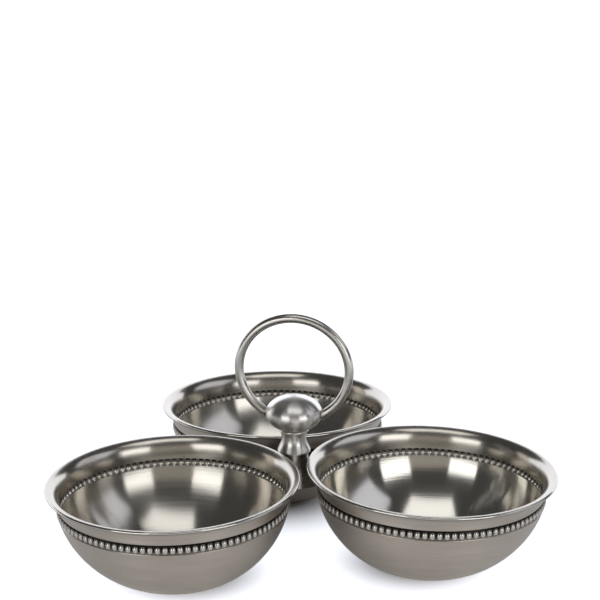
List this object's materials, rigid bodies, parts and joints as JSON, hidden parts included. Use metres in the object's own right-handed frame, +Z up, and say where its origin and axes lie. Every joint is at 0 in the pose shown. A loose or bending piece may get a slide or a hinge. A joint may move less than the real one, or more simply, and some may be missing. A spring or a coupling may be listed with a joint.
{
  "type": "three-bowl server",
  "caption": "Condiment server of metal bowls with beaded bands, joined round a bell hub with a neck, a knob and a ring handle that swings.",
  "frame": {"origin": "on the table, in the middle of the footprint's box", "axes": "+Z up, +Y towards the back bowl, +X to the right of a person who faces the two front bowls"},
  "size_m": [0.2846, 0.2652, 0.1376],
  "materials": {
    "satin_metal": "satin outside and closer to polished inside, brushed round the bowl, with black patina between the beads",
    "polished_metal": "fine satin, turned",
    "plain_metal": "plain machined",
    "solder": "dull, as cooled"
  },
  "bodies": {
    "server": {"bowl_back": "satin_metal", "bowl_front_left": "satin_metal", "bowl_front_right": "satin_metal", "hub_bell": "satin_metal", "neck": "polished_metal", "knob": "polished_metal", "tie_stud": "plain_metal", "clamp_washer": "plain_metal", "clamp_nut": "plain_metal", "solder_fillet_back": "solder", "solder_fillet_front_left": "solder", "solder_fillet_front_right": "solder"},
    "ring": {"ring_handle": "polished_metal"}
  },
  "joints": [
    {"name": "ring_swing", "type": "hinge", "parent": "server", "child": "ring", "pos_m": [0, -0.02089, 0.07904], "axis": [0.9511, -0.309, 0], "range_deg": [-112, 106]}
  ]
}
